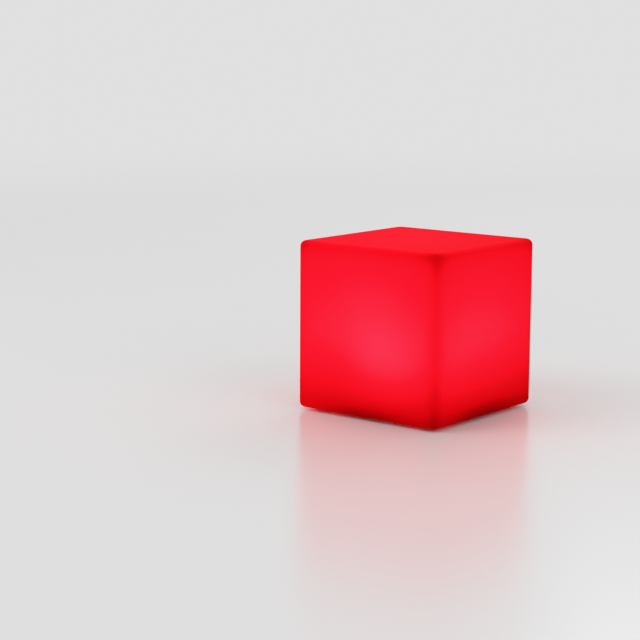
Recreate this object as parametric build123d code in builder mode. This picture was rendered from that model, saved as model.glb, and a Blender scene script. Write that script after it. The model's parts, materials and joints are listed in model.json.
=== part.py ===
from build123d import *

import os
from math import cos, radians, sin, sqrt, tan

# LED cube light: a milky moulded cube that glows around a round light engine.
#
# Sizes are in millimetres. The origin is the middle of the base on the floor, +Z is up and
# the cube's front is -Y. The light engine goes in from below: a flanged cup holds the battery
# and the control board, and carries the LED board and its frosted dome on its deck. The
# switch and the charging socket sit in the cup's bottom cover, in a recess of the cube that
# the rubber feet keep off the floor.

# ---- Clearances ----
slide_gap = 0.15  # round a piece that slides or drops into its place
screw_gap = 0.05  # between a thread or a pressed-in piece and its hole
hole_gap = 0.35  # round a screw's shank where it only passes through
pass_gap = 0.3  # round the flap's hinge, and between pieces that pass by each other
hair_gap = 0.1  # between pieces that only lie beside each other
seal_gap = 0.04  # round a seal in its groove

# ---- Cube shell ----
cube_side = 200.0
cube_height = 200.0  # from the floor to the top face
foot_stand = 3.0  # how far the feet hold the shell off the floor
wall = 3.0
edge_radius = 11.0  # the four upright edges
top_radius = 7.0
base_radius = 7.0
recess_depth = 10.0
seat_width = 16.0  # ring of the recess ceiling that the light engine is screwed to
mouth_radius = 2.0

# ---- Feet ----
foot_radius = 8.0
foot_seat_depth = 2.0
foot_inset = 24.0  # from a foot's centre to the cube's sides
foot_rounding = 1.2

# ---- Battery ----
cell_radius = 9.2
cell_length = 65.0
cell_spacing = 2.0
cell_rounding = 0.6
crimp_depth = 0.35
crimp_place = 3.2  # from the cell's end
tab_thickness = 0.3
tab_width = 6.0
protection_thickness = 1.0
protection_height = 9.0
protection_width = 26.0
cradle_wall = 1.8
cradle_floor = 1.6
cradle_length = 56.0
cradle_window = 30.0
lug_thickness = 2.6
pad_length = 50.0

# ---- Cup, flange and bottom cover of the light engine ----
lead_channel = 7.2  # from the protection board to the cup's wall
cup_wall = 2.8
collar_width = 3.5
collar_height = 7.5  # above the flange
opening_gap = 0.5  # between the collar and the opening in the shell
flange_thickness = 3.5
flange_gap = 1.5  # round the flange in the recess
flange_chamfer = 0.8
gasket_thickness = 1.5
gasket_gap = 0.8  # between the gasket and the opening in the shell
cover_thickness = 2.4
cover_seal_thickness = 0.8
cover_ledge = 3.8  # width of the step that the cover's seal lies against
cover_boss_radius = 4.6
cover_boss_height = 14.6
bay_height = 18.0  # from the bottom cover to the control board
board_to_cradle = 2.4
deck_gap = 0.6  # over the battery cells
deck_thickness = 3.0
rim_height = 3.0
post_radius = 3.3

# ---- Fasteners ----
flange_screw_count = 6
flange_thread = 1.95
flange_screw_length = 11.5
flange_head = 3.8
flange_head_height = 2.6
small_thread = 1.45
small_screw_length = 6.0
small_head = 2.7
small_head_height = 1.8
cover_screw_count = 4
cover_screw_length = 12.0
cover_head = 2.9
cover_head_height = 1.45
slot_length, slot_width = 1.2, 0.27  # of a screw's cross, as shares of its head's radius
slot_depth = 0.6  # as a share of its head's height
insert_radius = 3.0
insert_length = 8.0
insert_boss_wall = 2.5
nut_height = 2.5
nut_width = 2.2  # from the thread to the nut's flats
nut_chamfer = 0.4

# ---- Light: heat spreader, LED board, LEDs and dome ----
spreader_thickness = 2.0
spreader_margin = 0.3
board_thickness = 1.6
led_board_gap = 3.2  # between the LED board and the cup's rim
led_board_screw_inset = 4.8
led_size = 5.0
led_height = 1.6
led_window = 1.9  # radius of the phosphor window
inner_leds, inner_led_ring = 6, 11.0
outer_leds, outer_led_ring = 12, 22.5
receiver_width, receiver_depth, receiver_height = 6.0, 5.0, 7.0
receiver_place = (30.0, 12.0)
dome_gap = 1.2  # round the LED board
dome_wall = 2.0
dome_rise = 31.0
skirt_length = 8.0
skirt_wall = 2.0
snap_count = 3
snap_depth = 0.8
snap_height = 1.5
snap_width = 8.0
dome_seal_radius = 0.7

# ---- Control board ----
board_gap = 1.7  # between the control board and the cup's wall
notch_width = 16.0
notch_depth = 6.0
connector_length, connector_width, connector_height = 6.0, 9.5, 5.0
lead_radius = 0.6
lead_pitch = 2.0
bend_share = 0.45  # of the shorter run beside a lead's bend, taken up by its arc
inductor_size, inductor_height = 8.0, 4.5
inductor_place = (9.0, -19.0)
capacitor_radius, capacitor_height = 4.0, 9.0
capacitor_place = (-9.0, -19.0)

# ---- Power switch ----
port_offset = 16.0  # the switch and the socket stand this far from the middle
button_radius = 4.4
button_proud = 2.0
button_travel = 1.5
button_collar = 0.6  # wider than the cap
button_collar_height = 1.2
button_rounding = 0.6
stem_radius = 2.0
stem_length = 7.1
lip_thickness = 1.4
switch_bezel_rim = 2.6  # wider than the barrel
switch_bezel_height = 2.4
barrel_height = 12.0  # above the bottom cover's outer face
barrel_wall = 0.8
contact_block_height = 6.5
spring_radius = 3.5
spring_wire = 0.3
spring_turns = 4
symbol_radius, symbol_line, symbol_depth = 1.9, 0.5, 0.3

# ---- Charging socket, its flap and the charge light ----
socket_radius = 3.15
socket_depth = 9.5
socket_wall = 2.35
socket_bezel_rim = 1.9  # wider than the barrel
socket_bezel_height = 1.8
pin_radius = 1.05
pin_setback = 1.0  # the pin's tip lies this far inside the mouth
port_seal_radius = 0.5
terminal_width, terminal_thickness = 2.4, 0.6
terminal_height, terminal_spread = 4.0, 2.8
flap_margin = 0.6  # the flap covers the socket's bezel and this much more
flap_thickness = 1.8
flap_rounding = 0.5
flap_tab_length, flap_tab_width = 3.2, 6.0
bung_length = 3.0
bung_fit = 0.4  # between the bung's root and the socket's wall
bung_taper = 0.25
bung_wall = 0.55
strap_thickness, strap_width, strap_length = 1.2, 5.0, 4.15
anchor_length, anchor_width = 7.0, 7.0
anchor_pin_radius = 1.6
anchor_pin_head = 2.4
anchor_pin_head_height = 1.2
light_pipe_radius, light_pipe_head = 1.6, 2.6
light_pipe_head_height = 0.8
light_pipe_place = 22.0
indicator_height = 1.4

# ---- Levels, from the floor up ----
shell_bottom = foot_stand
seat_level = shell_bottom + recess_depth
flange_top = seat_level - gasket_thickness
flange_bottom = flange_top - flange_thickness
cover_top = flange_bottom + cover_thickness
ledge_level = cover_top + cover_seal_thickness
collar_top = flange_top + collar_height
board_bottom = cover_top + bay_height
board_top = board_bottom + board_thickness
cradle_bottom = board_top + board_to_cradle
trough_radius = cell_radius + hair_gap
cell_level = cradle_bottom + cradle_floor + trough_radius
cradle_top = cell_level + cradle_wall
deck_bottom = cell_level + cell_radius + deck_gap
deck_top = deck_bottom + deck_thickness
rim_top = deck_top + rim_height
led_board_bottom = deck_top + spreader_thickness
led_board_top = led_board_bottom + board_thickness

# ---- Distances from the middle, from the battery out ----
cell_pitch = 2 * cell_radius + cell_spacing
cell_side = cell_pitch / 2 + cell_radius
protection_face = cell_length / 2 + tab_thickness + protection_thickness
cup_inner = protection_face + lead_channel
cup_outer = cup_inner + cup_wall
collar_outer = cup_outer + collar_width
opening_radius = collar_outer + opening_gap
recess_radius = opening_radius + seat_width
flange_outer = recess_radius - flange_gap
cover_recess = cup_inner + cover_ledge
flange_screw_circle = (opening_radius + recess_radius) / 2
cover_screw_circle = cup_inner + hole_gap - cover_boss_radius
led_board_radius = cup_inner - led_board_gap
led_screw_circle = led_board_radius - led_board_screw_inset
control_board_radius = cup_inner - board_gap
cradle_half_width = cell_side + hair_gap + cradle_wall
post_row = cradle_half_width + pass_gap + post_radius
post_column = sqrt((control_board_radius - post_radius) ** 2 - post_row**2)
lead_lane = led_board_radius - 2 * lead_radius
foot_place = cube_side / 2 - foot_inset

os.makedirs("parts", exist_ok=True)


def turn(centre, *profile, mode=Mode.ADD):
    """Turns a straight-sided profile of (radius, height) points about an upright axis."""
    x, y = centre
    with BuildSketch(Plane((x, y, 0), x_dir=(1, 0, 0), z_dir=(0, -1, 0))) as half:
        with BuildLine():
            Polyline(*profile, close=True)
        make_face()
    revolve(half.sketch, axis=Axis((x, y, 0), (0, 0, 1)), mode=mode)


def column(radius, bottom, top, *places, mode=Mode.ADD):
    """Round columns between two levels, one at each place."""
    with BuildSketch(Plane.XY.offset(bottom)) as rounds:
        with Locations(*places):
            Circle(radius)
    extrude(rounds.sketch, amount=top - bottom, mode=mode)


def block(width, depth, bottom, top, *places, mode=Mode.ADD):
    """Square-cornered blocks between two levels, one at each place."""
    with BuildSketch(Plane.XY.offset(bottom)) as oblongs:
        with Locations(*places):
            Rectangle(width, depth)
    extrude(oblongs.sketch, amount=top - bottom, mode=mode)


def circle_of(count, radius, first):
    """Places evenly spaced round the middle, from the angle of the first in degrees."""
    angles = [radians(first + 360 * k / count) for k in range(count)]
    return [(radius * cos(a), radius * sin(a)) for a in angles]


def round_edge(piece, level, radius):
    """Rounds the outermost circular edge of a piece at one level."""
    circles = piece.edges().filter_by(GeomType.CIRCLE)
    at_level = circles.filter_by(lambda edge: abs(edge.center().Z - level) < 0.001)
    fillet(at_level.sort_by(SortBy.RADIUS)[-1], radius)


def rounded_box(piece, side, bottom, top, upright, upper, lower):
    """A square box with its own radius on its upright, upper and lower edges."""
    with BuildSketch(Plane.XY.offset(bottom)) as square:
        RectangleRounded(side, side, upright)
    extrude(square.sketch, amount=top - bottom)
    fillet(piece.faces().sort_by(Axis.Z)[-1].edges(), upper)
    fillet(piece.faces().sort_by(Axis.Z)[0].edges(), lower)


def finish(piece, name):
    """Labels a finished piece and writes its file."""
    piece.part.label = name
    export_step(piece.part, f"parts/{name}.step")


def cross_slot(head, level, depth):
    """Cuts a cross into a screw's head from below."""
    with BuildSketch(Plane.XY.offset(level)) as cross:
        Rectangle(head * slot_length, head * slot_width)
        Rectangle(head * slot_width, head * slot_length)
    extrude(cross.sketch, amount=depth, mode=Mode.SUBTRACT)


def make_pan_screw(thread, length, head, head_height):
    """A cross-slot pan-head screw: its head hangs below the origin, its thread points up."""
    taper = thread / 2
    crown = head * 2 / 5
    head_edge = head_height / 3
    with BuildPart() as screw:
        with BuildSketch(Plane.XZ):
            with BuildLine():
                Polyline(
                    (crown, -head_height),
                    (0, -head_height),
                    (0, length),
                    (thread - taper, length),
                    (thread, length - taper),
                    (thread, 0),
                    (head, 0),
                    (head, -head_edge),
                )
                RadiusArc((head, -head_edge), (crown, -head_height), head)
            make_face()
        revolve(axis=Axis.Z)
        cross_slot(head, -head_height, head_height * slot_depth)
    return screw.part


def make_flat_screw(thread, length, head, head_height):
    """A cross-slot countersunk screw: its head's flat face is at the origin, facing down."""
    taper = thread / 2
    with BuildPart() as screw:
        turn(
            (0, 0),
            (0, 0),
            (head, 0),
            (thread, head_height),
            (thread, length - taper),
            (thread - taper, length),
            (0, length),
        )
        cross_slot(head, 0, head_height * slot_depth)
    return screw.part


def make_nut(thread):
    """A thin hexagon nut standing on the origin, with its upper corners broken."""
    with BuildPart() as nut:
        with BuildSketch(Plane.XY):
            RegularPolygon(thread + nut_width, 6, major_radius=False)
            Circle(thread + screw_gap, mode=Mode.SUBTRACT)
        extrude(amount=nut_height)
        chamfer(nut.faces().sort_by(Axis.Z)[-1].outer_wire().edges(), nut_chamfer)
    return nut.part


def make_lead(*route):
    """An insulated wire on straight runs, with arcs as large as the shorter runs allow."""
    points = [Vector(*place) for place in route]
    runs = [end - start for start, end in zip(points, points[1:])]
    arcs = []
    for before, after in zip(runs, runs[1:]):
        half_turn = radians(before.get_angle(after)) / 2
        arcs.append(bend_share * min(before.length, after.length) / tan(half_turn))
    with BuildPart() as wire:
        with BuildLine():
            if arcs:
                FilletPolyline(*points, radius=arcs)
            else:
                Line(*points)
        with BuildSketch(Plane(origin=points[0], z_dir=runs[0])):
            Circle(lead_radius)
        sweep()
    return wire.part


# ================= Cube shell, inserts and feet =================
flange_screw_places = circle_of(flange_screw_count, flange_screw_circle, 30)
foot_places = {
    "foot_front_left": (-foot_place, -foot_place),
    "foot_front_right": (foot_place, -foot_place),
    "foot_back_left": (-foot_place, foot_place),
    "foot_back_right": (foot_place, foot_place),
}
foot_top = foot_stand + foot_seat_depth
foot_seat_radius = foot_radius + slide_gap
insert_top = seat_level + insert_length

# The cavity leaves the wall's thickness over the recess, the foot seats and the inserts.
with BuildPart() as cavity:
    rounded_box(
        cavity,
        cube_side - 2 * wall,
        shell_bottom + wall,
        cube_height - wall,
        edge_radius - wall,
        top_radius - wall,
        base_radius - wall,
    )
    column(recess_radius + wall, shell_bottom, seat_level + wall, (0, 0), mode=Mode.SUBTRACT)
    column(
        foot_seat_radius + wall,
        shell_bottom,
        foot_top + wall,
        *foot_places.values(),
        mode=Mode.SUBTRACT,
    )
    column(
        insert_radius + insert_boss_wall,
        seat_level,
        insert_top + insert_boss_wall,
        *flange_screw_places,
        mode=Mode.SUBTRACT,
    )

with BuildPart() as shell:
    rounded_box(shell, cube_side, shell_bottom, cube_height, edge_radius, top_radius, base_radius)
    column(recess_radius, shell_bottom, seat_level, (0, 0), mode=Mode.SUBTRACT)
    round_edge(shell, shell_bottom, mouth_radius)
    add(cavity.part, mode=Mode.SUBTRACT)
    column(opening_radius, seat_level, seat_level + wall, (0, 0), mode=Mode.SUBTRACT)
    column(insert_radius + screw_gap, seat_level, insert_top, *flange_screw_places, mode=Mode.SUBTRACT)
    column(foot_seat_radius, shell_bottom, foot_top, *foot_places.values(), mode=Mode.SUBTRACT)
finish(shell, "shell")

with BuildPart() as shell_inserts:
    column(insert_radius, seat_level, insert_top, *flange_screw_places)
    column(flange_thread + screw_gap, seat_level, insert_top, *flange_screw_places, mode=Mode.SUBTRACT)
finish(shell_inserts, "shell_inserts")

for foot_name, place in foot_places.items():
    with BuildPart() as foot:
        column(foot_radius, 0, foot_top, place)
        round_edge(foot, 0, foot_rounding)
    finish(foot, foot_name)

# ================= Light engine: cup, gasket and screws =================
cover_screw_places = circle_of(cover_screw_count, cover_screw_circle, 45)
board_post_places = [(x, y) for x in (-post_column, post_column) for y in (-post_row, post_row)]
cradle_post_places = [(0, -post_row), (0, post_row)]
led_screw_places = circle_of(3, led_screw_circle, 90)
small_hole = small_thread + screw_gap
skirt_bottom = rim_top - skirt_length
skirt_inner = cup_outer + slide_gap
snap_groove_top = skirt_bottom + snap_height + slide_gap
seal_level = (deck_top + rim_top) / 2
seal_groove_radius = skirt_inner - 2 * (dome_seal_radius + seal_gap)

with BuildPart() as engine_housing:
    turn(
        (0, 0),
        (0, deck_bottom),
        (cup_inner, deck_bottom),
        (cup_inner, ledge_level),
        (cover_recess, ledge_level),
        (cover_recess, flange_bottom),
        (flange_outer - flange_chamfer, flange_bottom),
        (flange_outer, flange_bottom + flange_chamfer),
        (flange_outer, flange_top),
        (collar_outer, flange_top),
        (collar_outer, collar_top),
        (cup_outer, collar_top + collar_width),
        (cup_outer, skirt_bottom - slide_gap),
        (cup_outer - snap_depth, skirt_bottom - slide_gap),
        (cup_outer - snap_depth, snap_groove_top),
        (cup_outer, snap_groove_top),
        (cup_outer, seal_level - dome_seal_radius - seal_gap),
        (seal_groove_radius, seal_level - dome_seal_radius - seal_gap),
        (seal_groove_radius, seal_level + dome_seal_radius + seal_gap),
        (cup_outer, seal_level + dome_seal_radius + seal_gap),
        (cup_outer, rim_top),
        (cup_inner, rim_top),
        (cup_inner, deck_top),
        (0, deck_top),
    )
    column(cover_boss_radius, cover_top, cover_top + cover_boss_height, *cover_screw_places)
    column(post_radius, board_top, deck_bottom, *board_post_places)
    column(post_radius, cradle_top, deck_bottom, *cradle_post_places)
    column(
        small_hole,
        cover_top,
        flange_bottom + cover_screw_length + hair_gap,
        *cover_screw_places,
        mode=Mode.SUBTRACT,
    )
    column(
        small_hole,
        board_top,
        board_bottom + small_screw_length + hair_gap,
        *board_post_places,
        mode=Mode.SUBTRACT,
    )
    column(
        small_hole,
        cradle_top,
        cradle_top - lug_thickness + small_screw_length + hair_gap,
        *cradle_post_places,
        mode=Mode.SUBTRACT,
    )
    column(
        small_hole,
        led_board_top - small_screw_length - hair_gap,
        deck_top,
        *led_screw_places,
        mode=Mode.SUBTRACT,
    )
    column(
        flange_thread + hole_gap,
        flange_bottom,
        flange_top,
        *flange_screw_places,
        mode=Mode.SUBTRACT,
    )
    block(2 * lead_pitch, 5 * lead_pitch, deck_bottom, deck_top, (-lead_lane, 0), mode=Mode.SUBTRACT)
finish(engine_housing, "engine_housing")

with BuildPart() as flange_gasket:
    column(flange_outer, flange_top, seat_level, (0, 0))
    column(opening_radius + gasket_gap, flange_top, seat_level, (0, 0), mode=Mode.SUBTRACT)
    column(
        flange_thread + 2 * hole_gap,
        flange_top,
        seat_level,
        *flange_screw_places,
        mode=Mode.SUBTRACT,
    )
finish(flange_gasket, "flange_gasket")

flange_screw = make_pan_screw(flange_thread, flange_screw_length, flange_head, flange_head_height)
with BuildPart() as flange_screws:
    with Locations(*[(x, y, flange_bottom) for x, y in flange_screw_places]):
        add(flange_screw)
finish(flange_screws, "flange_screws")

# ================= Bottom cover, its seal and its screws =================
switch_place = (-port_offset, 0)
socket_place = (port_offset, 0)
pipe_place = (0, light_pipe_place)
switch_bore = button_radius + button_collar + hair_gap
switch_barrel = switch_bore + barrel_wall
switch_bezel_radius = switch_barrel + switch_bezel_rim
socket_barrel = socket_radius + socket_wall
socket_bezel_radius = socket_barrel + socket_bezel_rim
flap_radius = socket_bezel_radius + flap_margin
hinge_place = -(flap_radius + strap_length)
anchor_near = hinge_place - strap_thickness / 2 - pass_gap
anchor_place = (port_offset, anchor_near - anchor_length / 2)
cover_radius = cover_recess - slide_gap

with BuildPart() as bottom_cover:
    column(cover_radius, flange_bottom, cover_top, (0, 0))
    column(switch_barrel + slide_gap, flange_bottom, cover_top, switch_place, mode=Mode.SUBTRACT)
    column(socket_barrel + slide_gap, flange_bottom, cover_top, socket_place, mode=Mode.SUBTRACT)
    column(light_pipe_radius + hair_gap, flange_bottom, cover_top, pipe_place, mode=Mode.SUBTRACT)
    column(anchor_pin_radius + hair_gap, flange_bottom, cover_top, anchor_place, mode=Mode.SUBTRACT)
    with BuildSketch(Plane.XY.offset(flange_bottom)):
        with Locations(*cover_screw_places):
            Circle(cover_head + screw_gap)
    extrude(amount=cover_head_height, taper=45, mode=Mode.SUBTRACT)
    column(small_thread + slide_gap, flange_bottom, cover_top, *cover_screw_places, mode=Mode.SUBTRACT)
finish(bottom_cover, "bottom_cover")

with BuildPart() as cover_seal:
    column(cover_radius, cover_top, ledge_level, (0, 0))
    column(
        cover_screw_circle + cover_boss_radius + hair_gap,
        cover_top,
        ledge_level,
        (0, 0),
        mode=Mode.SUBTRACT,
    )
finish(cover_seal, "cover_seal")

cover_screw = make_flat_screw(small_thread, cover_screw_length, cover_head, cover_head_height)
with BuildPart() as cover_screws:
    with Locations(*[(x, y, flange_bottom) for x, y in cover_screw_places]):
        add(cover_screw)
finish(cover_screws, "cover_screws")

# ================= Light: spreader, LED board, LEDs, receiver, dome =================
small_screw = make_pan_screw(small_thread, small_screw_length, small_head, small_head_height)

with BuildPart() as heat_spreader:
    column(led_board_radius + spreader_margin, deck_top, led_board_bottom, (0, 0))
    column(small_thread + slide_gap, deck_top, led_board_bottom, *led_screw_places, mode=Mode.SUBTRACT)
    block(
        3 * lead_pitch,
        5 * lead_pitch,
        deck_top,
        led_board_bottom,
        (-lead_lane - lead_pitch / 2, 0),
        mode=Mode.SUBTRACT,
    )
finish(heat_spreader, "heat_spreader")

with BuildPart() as led_board:
    column(led_board_radius, led_board_bottom, led_board_top, (0, 0))
    column(
        small_thread + slide_gap,
        led_board_bottom,
        led_board_top,
        *led_screw_places,
        mode=Mode.SUBTRACT,
    )
finish(led_board, "led_board")

led_places = [(0, 0)]
led_places += circle_of(inner_leds, inner_led_ring, 0)
led_places += circle_of(outer_leds, outer_led_ring, 15)
with BuildPart() as leds:
    block(led_size, led_size, led_board_top, led_board_top + led_height, *led_places)
    column(
        led_window,
        led_board_top + led_height / 2,
        led_board_top + led_height,
        *led_places,
        mode=Mode.SUBTRACT,
    )
finish(leds, "leds")

with BuildPart() as ir_receiver:
    block(
        receiver_width,
        receiver_depth,
        led_board_top,
        led_board_top + receiver_height,
        receiver_place,
    )
    with BuildSketch(Plane.XY.offset(led_board_top + receiver_height / 2)):
        with Locations((receiver_place[0], receiver_place[1] + receiver_depth / 2)):
            Circle(receiver_width / 3)
    extrude(amount=receiver_height / 2)
finish(ir_receiver, "ir_receiver")

with BuildPart() as led_board_screws:
    with Locations(*[Location((x, y, led_board_top), (180, 0, 0)) for x, y in led_screw_places]):
        add(small_screw)
finish(led_board_screws, "led_board_screws")

dome_inner = led_board_radius + dome_gap
dome_outer = dome_inner + dome_wall
skirt_outer = skirt_inner + skirt_wall
shoulder_top = rim_top + dome_wall
dome_top = shoulder_top + dome_rise
with BuildPart() as diffuser_dome:
    with BuildSketch(Plane.XZ):
        with BuildLine():
            TangentArc((0, dome_top), (dome_outer, shoulder_top), tangent=(1, 0))
            TangentArc((0, dome_top - dome_wall), (dome_inner, shoulder_top), tangent=(1, 0))
            Line((0, dome_top), (0, dome_top - dome_wall))
            Polyline(
                (dome_inner, shoulder_top),
                (dome_inner, rim_top),
                (skirt_inner, rim_top),
                (skirt_inner, skirt_bottom),
                (skirt_outer, skirt_bottom),
                (skirt_outer, shoulder_top),
                (dome_outer, shoulder_top),
            )
        make_face()
    revolve(axis=Axis.Z)
    round_edge(diffuser_dome, shoulder_top, dome_wall / 2)
    with BuildSketch(Plane.XY.offset(skirt_bottom)):
        with PolarLocations(cup_outer, snap_count, start_angle=30):
            Rectangle(2 * skirt_wall, snap_width)
        Circle(cup_outer - snap_depth + slide_gap, mode=Mode.SUBTRACT)
    extrude(amount=snap_height)
finish(diffuser_dome, "diffuser_dome")

with BuildPart() as dome_seal:
    with Locations((0, 0, seal_level)):
        Torus(skirt_inner - dome_seal_radius - seal_gap, dome_seal_radius)
finish(dome_seal, "dome_seal")

# ================= Battery =================
trough_places = {"battery_cell_1": -cell_pitch / 2, "battery_cell_2": cell_pitch / 2}
cell_half = cell_length / 2

for cell_name, y in trough_places.items():
    with BuildPart() as cell:
        with BuildSketch(Plane.XY.offset(cell_level)):
            with BuildLine():
                Polyline(
                    (-cell_half, y),
                    (-cell_half, y + cell_radius - cell_rounding),
                    (-cell_half + cell_rounding, y + cell_radius),
                    (cell_half - crimp_place, y + cell_radius),
                    (cell_half - crimp_place + crimp_depth, y + cell_radius - crimp_depth),
                    (cell_half - crimp_place + 2 * crimp_depth, y + cell_radius),
                    (cell_half - cell_rounding, y + cell_radius),
                    (cell_half, y + cell_radius - cell_rounding),
                    (cell_half, y),
                    close=True,
                )
            make_face()
        revolve(axis=Axis((0, y, cell_level), (1, 0, 0)))
    finish(cell, cell_name)

with BuildPart() as battery_cradle:
    block(cradle_length, 2 * cradle_half_width, cradle_bottom, cradle_top, (0, 0))
    block(2 * post_radius, 2 * post_row, cradle_top - lug_thickness, cradle_top, (0, 0))
    column(post_radius, cradle_top - lug_thickness, cradle_top, *cradle_post_places)
    for y in trough_places.values():
        with Locations((0, y, cell_level)):
            Cylinder(trough_radius, cradle_length, rotation=(0, 90, 0), mode=Mode.SUBTRACT)
            Box(cradle_window, cell_radius, 2 * cell_radius + 4 * cradle_floor, mode=Mode.SUBTRACT)
    column(
        small_thread + slide_gap,
        cradle_top - lug_thickness,
        cradle_top,
        *cradle_post_places,
        mode=Mode.SUBTRACT,
    )
finish(battery_cradle, "battery_cradle")

with BuildPart() as cradle_screws:
    with Locations(*[(x, y, cradle_top - lug_thickness) for x, y in cradle_post_places]):
        add(small_screw)
finish(cradle_screws, "cradle_screws")

with BuildPart() as battery_pad:
    block(pad_length, cell_pitch + tab_width, deck_bottom - deck_gap + hair_gap, deck_bottom, (0, 0))
finish(battery_pad, "battery_pad")

tab_place = cell_half + tab_thickness / 2
with BuildPart() as battery_tabs:
    with Locations((-tab_place, 0, cell_level), (tab_place, 0, cell_level)):
        Box(tab_thickness, cell_pitch + tab_width, tab_width)
finish(battery_tabs, "battery_tabs")

with BuildPart() as protection_board:
    with Locations((protection_face - protection_thickness / 2, 0, cell_level)):
        Box(protection_thickness, protection_width, protection_height)
finish(protection_board, "protection_board")

# ================= Control board =================
with BuildPart() as control_board:
    column(control_board_radius, board_bottom, board_top, (0, 0))
    block(
        notch_depth,
        notch_width,
        board_bottom,
        board_top,
        (-lead_lane, 0),
        (lead_lane, 0),
        mode=Mode.SUBTRACT,
    )
    column(small_thread + slide_gap, board_bottom, board_top, *board_post_places, mode=Mode.SUBTRACT)
finish(control_board, "control_board")

with BuildPart() as control_board_screws:
    with Locations(*[(x, y, board_bottom) for x, y in board_post_places]):
        add(small_screw)
finish(control_board_screws, "control_board_screws")

# Each part is its centre, its size across and along the board, and its height.
chips = [
    ((0, -6), (7, 7, 1.2)),
    ((1, 7), (5, 4, 1.4)),
    ((-7, 13), (4, 5, 1.6)),
    ((7, 14), (4, 3, 1.1)),
    ((-4, -30), (6, 3, 1.6)),
    ((5, -29), (3, 2, 1.0)),
    ((-16, 18), (3, 5, 1.0)),
    ((16, 18), (4, 4, 1.2)),
]
with BuildPart() as surface_mount_parts:
    for place, (width, depth, height) in chips:
        block(width, depth, board_bottom - height, board_bottom, place)
finish(surface_mount_parts, "surface_mount_parts")

with BuildPart() as power_inductor:
    block(inductor_size, inductor_size, board_bottom - inductor_height, board_bottom, inductor_place)
    fillet(power_inductor.edges().filter_by(Axis.Z), inductor_size / 5)
finish(power_inductor, "power_inductor")

with BuildPart() as buffer_capacitor:
    column(capacitor_radius, board_bottom - capacitor_height, board_bottom, capacitor_place)
    round_edge(buffer_capacitor, board_bottom - capacitor_height, capacitor_radius / 6)
finish(buffer_capacitor, "buffer_capacitor")

connector_face = lead_lane - notch_depth / 2 - lead_pitch
connector_centre = connector_face - connector_length / 2
with BuildPart() as lead_connectors:
    block(
        connector_length,
        connector_width,
        board_bottom - connector_height,
        board_bottom,
        (-connector_centre, 0),
        (connector_centre, 0),
    )
finish(lead_connectors, "lead_connectors")

# ================= Power switch =================
bezel_bottom = flange_bottom - switch_bezel_height
lip_top = bezel_bottom + lip_thickness
cap_bottom = bezel_bottom - button_proud
button_seat = lip_top + slide_gap
collar_face = button_seat + button_collar_height
barrel_top = flange_bottom + barrel_height
contact_bottom = barrel_top - contact_block_height
stem_top = collar_face + stem_length
stem_hole_top = stem_top + button_travel + hole_gap
switch_seal_circle = (switch_barrel + switch_bezel_radius) / 2
socket_seal_circle = (socket_barrel + socket_bezel_radius) / 2
port_groove = port_seal_radius + seal_gap
groove_floor = flange_bottom - 2 * port_groove

with BuildPart() as switch_body:
    turn(
        switch_place,
        (button_radius + slide_gap, bezel_bottom),
        (switch_bezel_radius, bezel_bottom),
        (switch_bezel_radius, flange_bottom),
        (switch_seal_circle + port_groove, flange_bottom),
        (switch_seal_circle + port_groove, groove_floor),
        (switch_seal_circle - port_groove, groove_floor),
        (switch_seal_circle - port_groove, flange_bottom),
        (switch_barrel, flange_bottom),
        (switch_barrel, barrel_top),
        (switch_bore, barrel_top),
        (switch_bore, lip_top),
        (button_radius + slide_gap, lip_top),
    )
    round_edge(switch_body, bezel_bottom, switch_bezel_height / 3)
finish(switch_body, "switch_body")

with BuildPart() as switch_button:
    turn(
        switch_place,
        (0, cap_bottom),
        (button_radius, cap_bottom),
        (button_radius, button_seat),
        (button_radius + button_collar, button_seat),
        (button_radius + button_collar, collar_face),
        (stem_radius, collar_face),
        (stem_radius, stem_top),
        (0, stem_top),
    )
    round_edge(switch_button, cap_bottom, button_rounding)
    with BuildSketch(Plane((*switch_place, cap_bottom))):
        Circle(symbol_radius + symbol_line / 2)
        Circle(symbol_radius - symbol_line / 2, mode=Mode.SUBTRACT)
        with Locations((0, symbol_radius)):
            Rectangle(3 * symbol_line, symbol_radius, mode=Mode.SUBTRACT)
            Rectangle(symbol_line, symbol_radius)
    extrude(amount=symbol_depth, mode=Mode.SUBTRACT)
finish(switch_button, "switch_button")

with BuildPart() as switch_contact_block:
    turn(
        switch_place,
        (stem_radius + hair_gap, contact_bottom),
        (switch_bore - hair_gap, contact_bottom),
        (switch_bore - hair_gap, barrel_top),
        (0, barrel_top),
        (0, stem_hole_top),
        (stem_radius + hair_gap, stem_hole_top),
    )
finish(switch_contact_block, "switch_contact_block")

spring_bottom = collar_face + spring_wire + hair_gap
spring_rise = contact_bottom - spring_wire - hair_gap - spring_bottom
with BuildPart() as switch_spring:
    with BuildLine():
        coil = Helix(
            spring_rise / spring_turns,
            spring_rise,
            spring_radius,
            center=(*switch_place, spring_bottom),
        )
    with BuildSketch(Plane(origin=coil @ 0, z_dir=coil % 0)):
        Circle(spring_wire)
    sweep(path=coil, is_frenet=True)
finish(switch_spring, "switch_spring")

with BuildPart() as switch_seal:
    with Locations((*switch_place, flange_bottom - port_groove)):
        Torus(switch_seal_circle, port_seal_radius)
finish(switch_seal, "switch_seal")

switch_nut_body = make_nut(switch_barrel)
with BuildPart() as switch_nut:
    with Locations((*switch_place, cover_top)):
        add(switch_nut_body)
finish(switch_nut, "switch_nut")


def blades(place):
    """Two flat terminals on top of a barrel."""
    x, y = place
    pair = [(x - terminal_spread, y), (x + terminal_spread, y)]
    block(terminal_thickness, terminal_width, barrel_top, barrel_top + terminal_height, *pair)


with BuildPart() as switch_terminals:
    blades(switch_place)
finish(switch_terminals, "switch_terminals")

# ================= Charging socket =================
socket_face = flange_bottom - socket_bezel_height

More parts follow.
